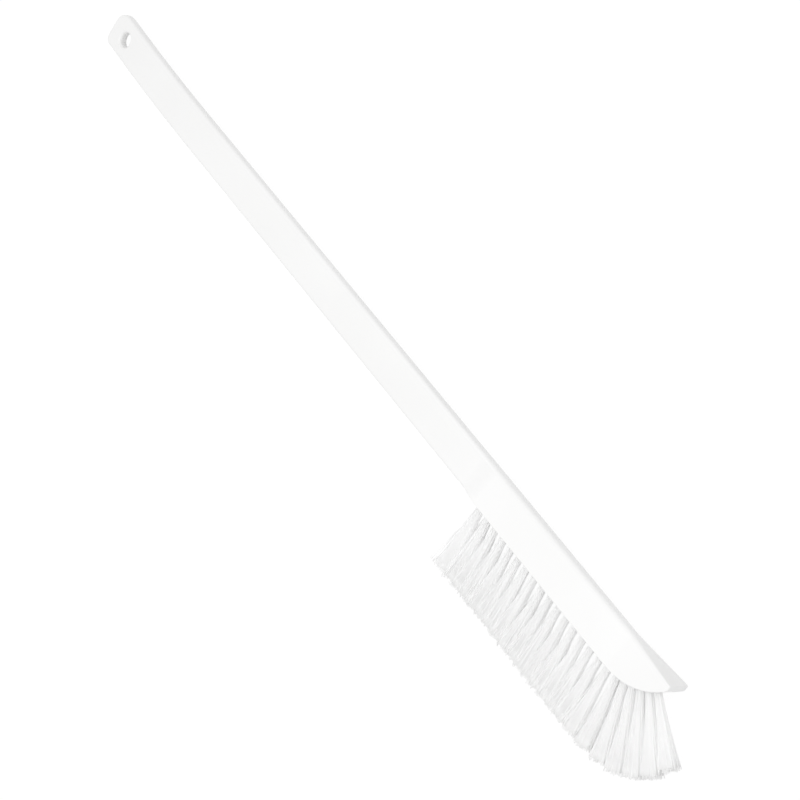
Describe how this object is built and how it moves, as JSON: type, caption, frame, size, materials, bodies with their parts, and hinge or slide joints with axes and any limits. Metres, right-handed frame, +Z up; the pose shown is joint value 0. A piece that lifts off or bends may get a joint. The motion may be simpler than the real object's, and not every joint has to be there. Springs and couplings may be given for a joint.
{
  "type": "narrow cleaning brush",
  "caption": "Long flat-handled narrow cleaning brush in white plastic, with staggered rows of stiff filament tufts that fan out round the nose and a hang hole in the handle's end.",
  "frame": {"origin": "under the middle of the brush's box, on the surface that the brush lies on", "axes": "+X along the handle towards the nose, +Y towards the plain back edge so that the bristles point to -Y, +Z up through the handle's broad side"},
  "size_m": [0.631, 0.0694, 0.0192],
  "materials": {
    "white_moulding": "satin white moulded polypropylene",
    "white_filament": "stiff white polyester filament, slightly translucent",
    "anchor_steel": "bright flat stainless anchor wire"
  },
  "bodies": {
    "root": {"handle_moulding": "white_moulding", "tufts_upper_row": "white_filament", "tufts_upper_nose": "white_filament", "tufts_lower_row": "white_filament", "tufts_lower_nose": "white_filament", "anchor_upper_01": "anchor_steel", "anchor_upper_02": "anchor_steel", "anchor_upper_03": "anchor_steel", "anchor_upper_04": "anchor_steel", "anchor_upper_05": "anchor_steel", "anchor_upper_06": "anchor_steel", "anchor_upper_07": "anchor_steel", "anchor_upper_08": "anchor_steel", "anchor_upper_09": "anchor_steel", "anchor_upper_10": "anchor_steel", "anchor_upper_11": "anchor_steel", "anchor_upper_12": "anchor_steel", "anchor_upper_13": "anchor_steel", "anchor_upper_14": "anchor_steel", "anchor_upper_15": "anchor_steel", "anchor_upper_16": "anchor_steel", "anchor_upper_17": "anchor_steel", "anchor_upper_18": "anchor_steel", "anchor_upper_19": "anchor_steel", "anchor_upper_20": "anchor_steel", "anchor_upper_21": "anchor_steel", "anchor_upper_22": "anchor_steel", "anchor_upper_23": "anchor_steel", "anchor_lower_01": "anchor_steel", "anchor_lower_02": "anchor_steel", "anchor_lower_03": "anchor_steel", "anchor_lower_04": "anchor_steel", "anchor_lower_05": "anchor_steel", "anchor_lower_06": "anchor_steel", "anchor_lower_07": "anchor_steel", "anchor_lower_08": "anchor_steel", "anchor_lower_09": "anchor_steel", "anchor_lower_10": "anchor_steel", "anchor_lower_11": "anchor_steel", "anchor_lower_12": "anchor_steel", "anchor_lower_13": "anchor_steel", "anchor_lower_14": "anchor_steel", "anchor_lower_15": "anchor_steel", "anchor_lower_16": "anchor_steel", "anchor_lower_17": "anchor_steel", "anchor_lower_18": "anchor_steel", "anchor_lower_19": "anchor_steel", "anchor_lower_20": "anchor_steel", "anchor_lower_21": "anchor_steel"}
  },
  "joints": []
}
